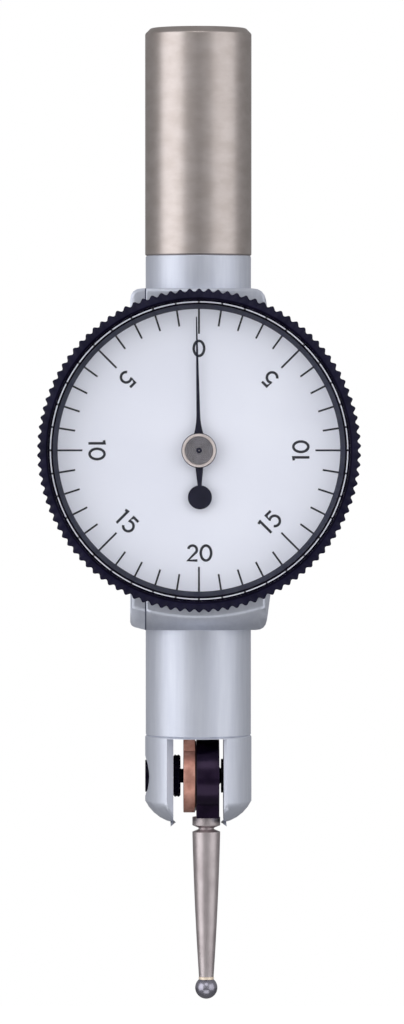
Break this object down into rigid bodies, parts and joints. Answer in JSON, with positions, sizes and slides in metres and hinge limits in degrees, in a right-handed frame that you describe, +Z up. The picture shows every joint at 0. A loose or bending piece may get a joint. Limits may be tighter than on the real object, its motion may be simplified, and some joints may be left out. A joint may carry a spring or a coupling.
{
  "type": "dial test indicator",
  "caption": "Lever dial test indicator with a round stem, a rotating knurled bezel with dial and crystal, and a forked foot with a swivelling ball contact.",
  "frame": {"origin": "centre of the stem's flat upper end", "axes": "+Z up along the stem, +X to the right as the dial is read, -Y out of the dial towards the reader"},
  "size_m": [0.0286, 0.017, 0.0871],
  "materials": {
    "nickel": "polished nickel",
    "satin_steel": "satin chrome",
    "steel": "ground",
    "black_steel": "black oxide",
    "bronze": "turned bronze",
    "brass": "turned brass",
    "ruby": "polished synthetic ruby",
    "spring_steel": "blued",
    "dial_white": "satin white paint",
    "pointer_black": "matt black paint",
    "clear": "clear",
    "carbide": "polished carbide"
  },
  "bodies": {
    "body": {"stem": "nickel", "housing": "satin_steel", "side_cover": "satin_steel", "side_cover_screw_1": "steel", "side_cover_screw_2": "steel", "side_cover_screw_3": "steel", "side_cover_screw_4": "steel", "dial_base_screw_1": "steel", "dial_base_screw_2": "steel", "dial_base_screw_3": "steel", "dial_base_screw_4": "steel", "cock_screw_1": "steel", "cock_screw_2": "steel", "limit_pin_1": "steel", "limit_pin_2": "steel", "fork_head": "satin_steel", "pivot_screw": "steel", "pivot_lock_nut": "black_steel", "pivot_bearing": "black_steel", "movement_cock": "brass", "crown_jewel_left": "ruby", "crown_jewel_right": "ruby", "pointer_jewel_front": "ruby", "pointer_jewel_rear": "ruby", "dial_base": "steel", "bezel_retaining_ring": "spring_steel", "hairspring": "spring_steel", "hairspring_stud": "brass"},
    "bezel_assembly": {"bezel": "black_steel", "dial_plate": "dial_white", "crystal": "clear"},
    "lever_assembly": {"measuring_lever": "bronze", "sector_spacer": "brass", "sector_gear": "brass", "sector_rivet_1": "steel", "sector_rivet_2": "steel", "pivot_shaft": "black_steel", "clutch_washer": "spring_steel"},
    "stylus_assembly": {"stylus_holder": "black_steel", "contact_stem": "steel", "contact_ball": "carbide"},
    "crown_assembly": {"crown_gear": "brass", "crown_arbor": "steel"},
    "pointer_assembly": {"pointer_arbor": "steel", "hairspring_collet": "brass", "pointer_hub": "brass", "pointer": "pointer_black"}
  },
  "joints": [
    {"name": "bezel_turn", "type": "hinge", "parent": "body", "child": "bezel_assembly", "pos_m": [0, -0.0085, -0.0377], "axis": [0, 1, 0], "continuous": true},
    {"name": "lever_measure", "type": "hinge", "parent": "body", "child": "lever_assembly", "pos_m": [0, 0, -0.067], "axis": [1, 0, 0], "range_deg": [-1.6, 1.6], "stiffness_Nm_per_rad": 0.1},
    {"name": "stylus_swivel", "type": "hinge", "parent": "lever_assembly", "child": "stylus_assembly", "pos_m": [0, 0, -0.067], "axis": [1, 0, 0], "range_deg": [-105, 105]},
    {"name": "crown_spin", "type": "hinge", "parent": "body", "child": "crown_assembly", "pos_m": [0, 0, -0.0377], "axis": [1, 0, 0], "range_deg": [-57, 57]},
    {"name": "pointer_spin", "type": "hinge", "parent": "body", "child": "pointer_assembly", "pos_m": [0, -0.0085, -0.0377], "axis": [0, 1, 0], "range_deg": [-190, 190]}
  ],
  "couplings": [
    {"joint": "crown_spin", "follows": "lever_measure", "ratio": -35.625},
    {"joint": "pointer_spin", "follows": "lever_measure", "ratio": 118.75}
  ]
}
